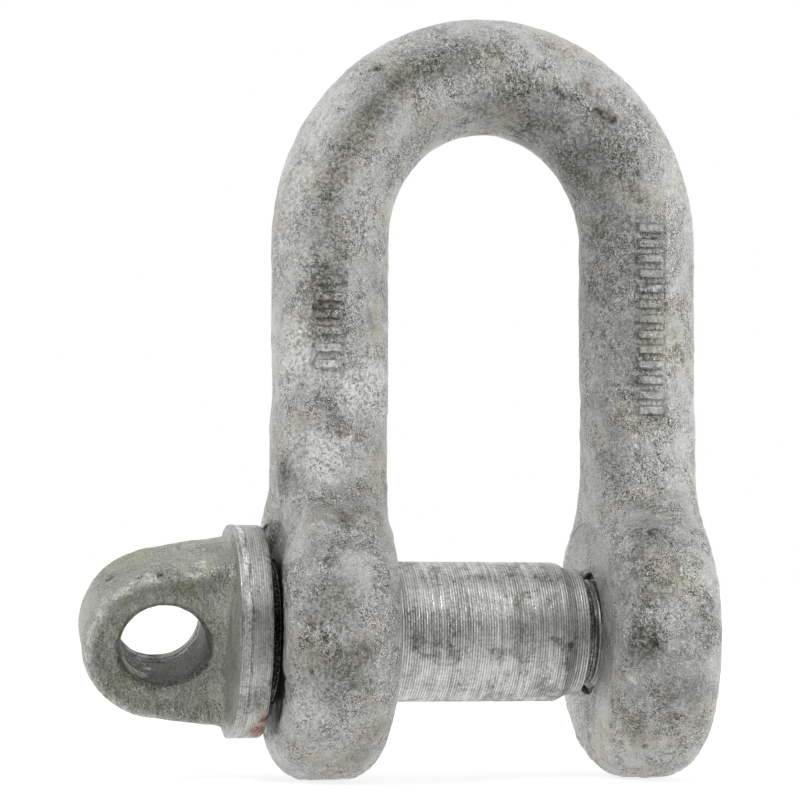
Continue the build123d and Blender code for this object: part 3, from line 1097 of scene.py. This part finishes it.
def groove_painted_shade(along, reach):
    """Painted shade in the relief groove between the land and the thread."""
    soot_and_shade = ease(along, groove_start - 0.1, groove_start + 0.1)
    soot_and_shade *= 1 - ease(along, groove_end - 0.1, groove_end + 0.4)
    soot_and_shade *= 1 - ease(reach, root_radius + 0.5, land_radius)
    return 0.6 * soot_and_shade


def seat_painted_shade(along, reach):
    """Painted shade on the collar's seat and the start of the shank, so that the gap there reads dark."""
    seat = 0.8 * (np.abs(along - collar_seat) < 0.12) * (reach > pin_radius + 0.3)
    exposed = ease(along, collar_seat + 0.02, collar_seat + 0.12)
    exposed *= 1 - ease(along, collar_seat + 0.9, collar_seat + 1.7)
    return np.maximum(seat, 1.3 * exposed)


def weather_pin(mesh):
    """Paints the pin's soot, rust, bare metal and grime, with painted shade in the relief groove, at the
    collar's seat and on the head's near face, and a painted highlight along the head's worn ridge.
    """
    points = read_points(mesh)
    along = points[:, 0]
    reach = np.hypot(points[:, 1], points[:, 2])
    flash, crack, specks = collar_wear(points)
    ridge, face, lines = head_wear(points)
    # Soot, cracks and dark lines, with painted shade in the relief groove and the gap at the collar's
    # seat.
    soot_and_shade = [groove_painted_shade(along, reach), seat_painted_shade(along, reach), crack, 1.1 * lines]
    soot_and_shade.append(spots(points, pin_pits))
    paint(mesh, "soot_and_shade", np.maximum.reduce(soot_and_shade))
    rust = [spots(points, pin_rust, 0.4), spots(points, rim_rust, 0.25, 0.15), specks]
    paint(mesh, "rust", np.maximum.reduce(rust))
    # Pale zinc and flash, with a painted highlight along the head's worn ridge.
    paint(mesh, "pale", np.maximum.reduce([spots(points, pin_pale, 0.5), flash, 0.7 * ridge]))
    # Grime, and painted shade on the near face of the head.
    paint(mesh, "grime_and_shade", np.maximum(spots(points, pin_grime, 0.6, 0.3), 0.30 * face))


def make_pin():
    """The screw pin: forged head and turned shank in one mesh, weathered."""
    mesh = combine(forge_head(), turn_pin(), "UNION")
    weather_pin(mesh)
    shade(mesh, crisp_angle)
    mesh.name = "screw_pin_finished"
    return add_object("screw_pin_finished", mesh)


# ---------------- studio

# The camera, matched to the photo: degrees and millimetres.
camera_azimuth = -11.13
camera_elevation = -3.43
camera_roll = -0.314
camera_distance = 324.35
camera_lens = 126.9
camera_shift_right = -9.747
camera_shift_up = 26.589

# The room: white where the cosine of the angle from the camera is low, dark where it is high.
room_bright_at = 0.45
room_dark_at = 0.93
room_bright = 0.92
room_dark = 0.10
floor_share = 0.9  # how bright the floor is against the room
floor_glow = 0.78  # how bright the floor is for the camera
light_target = (0, 0, 0.03)  # metres, like the lamps' places


def camera_back():
    """The direction from the object to the camera."""
    turn, lift = radians(camera_azimuth), radians(camera_elevation)
    return Vector((sin(turn) * cos(lift), -cos(turn) * cos(lift), sin(lift)))


def room_light(tree, towards):
    """The studio as the metal sees it in a direction: white at the sides, dark round the camera."""
    ends = {0: towards, 1: camera_back()}
    along = node(tree, "VectorMath", ends, operation="DOT_PRODUCT").outputs["Value"]
    return remap(tree, along, room_bright_at, room_dark_at, room_bright, room_dark)


def white_for_camera(tree, light, seen):
    """This light, but plain white where the camera itself looks."""
    camera_ray = node(tree, "LightPath", {}).outputs["Is Camera Ray"]
    other_rays = multiply(tree, light, calculate(tree, "SUBTRACT", 1.0, camera_ray))
    return calculate(tree, "ADD", other_rays, calculate(tree, "MULTIPLY", camera_ray, seen))


def make_floor():
    """A large white sweep that the ears stand on."""
    mesh = bpy.data.meshes.new("floor")
    half = 3.0
    height = cad_low.z
    corners = [(-half, -half, height), (half, -half, height), (half, half, height), (-half, half, height)]
    mesh.from_pydata(corners, [], [(0, 1, 2, 3)])
    floor = add_object("floor", mesh)
    made = bpy.data.materials.new("floor_white")
    made.use_nodes = True
    tree = made.node_tree
    surface = tree.nodes["Principled BSDF"]
    matt = {"Base Color": rgb(0.3, 0.3, 0.3), "Roughness": 0.9, "Emission Color": rgb(1, 1, 1)}
    connect(tree, surface, matt)
    incoming = node(tree, "NewGeometry", {}).outputs["Incoming"]
    towards = node(tree, "VectorMath", {0: incoming, "Scale": -1.0}, operation="SCALE").outputs[0]
    light = multiply(tree, room_light(tree, towards), floor_share)
    connect(tree, surface, {"Emission Strength": white_for_camera(tree, light, floor_glow)})
    mesh.materials.append(made)


def make_light(name, place, size, power):
    """A round lamp that shines at the middle of the shackle."""
    lamp = bpy.data.lights.new(name, "AREA")
    lamp.shape = "DISK"
    lamp.size = size
    lamp.energy = power
    made = add_object(name, lamp)
    made.location = place
    made.rotation_mode = "QUATERNION"
    made.rotation_quaternion = (Vector(light_target) - Vector(place)).to_track_quat("-Z", "Y")
    return made


def make_camera():
    turn, roll = radians(camera_azimuth), radians(camera_roll)
    back = camera_back()
    right = Vector((cos(turn), sin(turn), 0))
    up = back.cross(right)
    place = camera_shift_right * right + camera_shift_up * up + camera_distance * back
    across = cos(roll) * right - sin(roll) * up
    upward = sin(roll) * right + cos(roll) * up
    lens = bpy.data.cameras.new("camera")
    lens.lens = camera_lens
    lens.sensor_width = 36.0
    lens.clip_start = 0.01
    lens.clip_end = 20.0
    camera = add_object("camera", lens)
    turned_to = Matrix((across, upward, back)).transposed().to_4x4()
    turned_to.translation = place * MM
    camera.matrix_world = turned_to
    bpy.context.scene.camera = camera


def make_world():
    """White all round for the camera. The metal sees the room."""
    world = bpy.data.worlds.new("studio")
    bpy.context.scene.world = world
    world.use_nodes = True
    tree = world.node_tree
    towards = node(tree, "TexCoord", {}).outputs["Generated"]
    strength = white_for_camera(tree, room_light(tree, towards), 1.0)
    connect(tree, tree.nodes["Background"], {"Strength": strength, "Color": rgb(1, 1, 1)})


piece = make_body()
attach(piece, "body")
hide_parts("shackle_body")

piece = make_pin()
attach(piece, "pin")
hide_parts("screw_pin")

make_floor()
make_camera()
make_world()
make_light("key", place=(-0.45, -0.35, 0.55), size=0.18, power=2.4)
make_light("fill", place=(0.55, -0.20, 0.15), size=0.3, power=1.2)
bpy.context.scene.view_settings.view_transform = "Standard"
